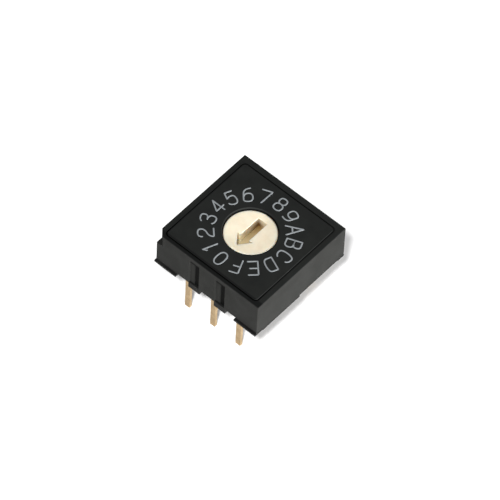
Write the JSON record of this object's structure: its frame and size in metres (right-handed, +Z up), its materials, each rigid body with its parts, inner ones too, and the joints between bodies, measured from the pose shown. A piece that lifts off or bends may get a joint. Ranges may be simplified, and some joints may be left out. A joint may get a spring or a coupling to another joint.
{
  "type": "rotary dip switch",
  "caption": "Square flush rotary coding switch for a circuit board, with an arrow rotor that turns and clicks and two rows of pins.",
  "frame": {"origin": "on the rotor axis, in the plane of the board that the standoffs stand on", "axes": "+Z up along the rotor axis, +X along the rows of pins, the arrow points to -Y at rest"},
  "size_m": [0.01, 0.01, 0.0082],
  "materials": {
    "housing": "matte moulded",
    "base": "matte moulded",
    "rotor": "satin moulded",
    "gold_plating": "gold plated",
    "pin_metal": "thin gold plating",
    "contact_metal": "gold plated spring alloy",
    "spring_steel": "bright",
    "silicone": "smooth",
    "resin": "cured resin"
  },
  "bodies": {
    "housing": {"cover": "housing", "base": "base", "terminal_bit_1": "pin_metal", "terminal_common_front": "pin_metal", "terminal_bit_2": "pin_metal", "terminal_bit_4": "pin_metal", "terminal_common_back": "pin_metal", "terminal_bit_8": "pin_metal", "contact_bit_1": "contact_metal", "contact_common_front": "contact_metal", "contact_bit_2": "contact_metal", "contact_bit_4": "contact_metal", "contact_common_back": "contact_metal", "contact_bit_8": "contact_metal", "detent_spring_left": "spring_steel", "detent_spring_right": "spring_steel", "pin_seal_front": "resin", "pin_seal_back": "resin", "seal_ring": "silicone"},
    "rotor": {"rotor": "rotor", "code_disc": "gold_plating"}
  },
  "joints": [
    {"name": "rotor_turn", "type": "hinge", "parent": "housing", "child": "rotor", "pos_m": [0, 0, 0], "axis": [0, 0, 1], "continuous": true, "deforming": ["detent_spring_left", "detent_spring_right"]}
  ]
}
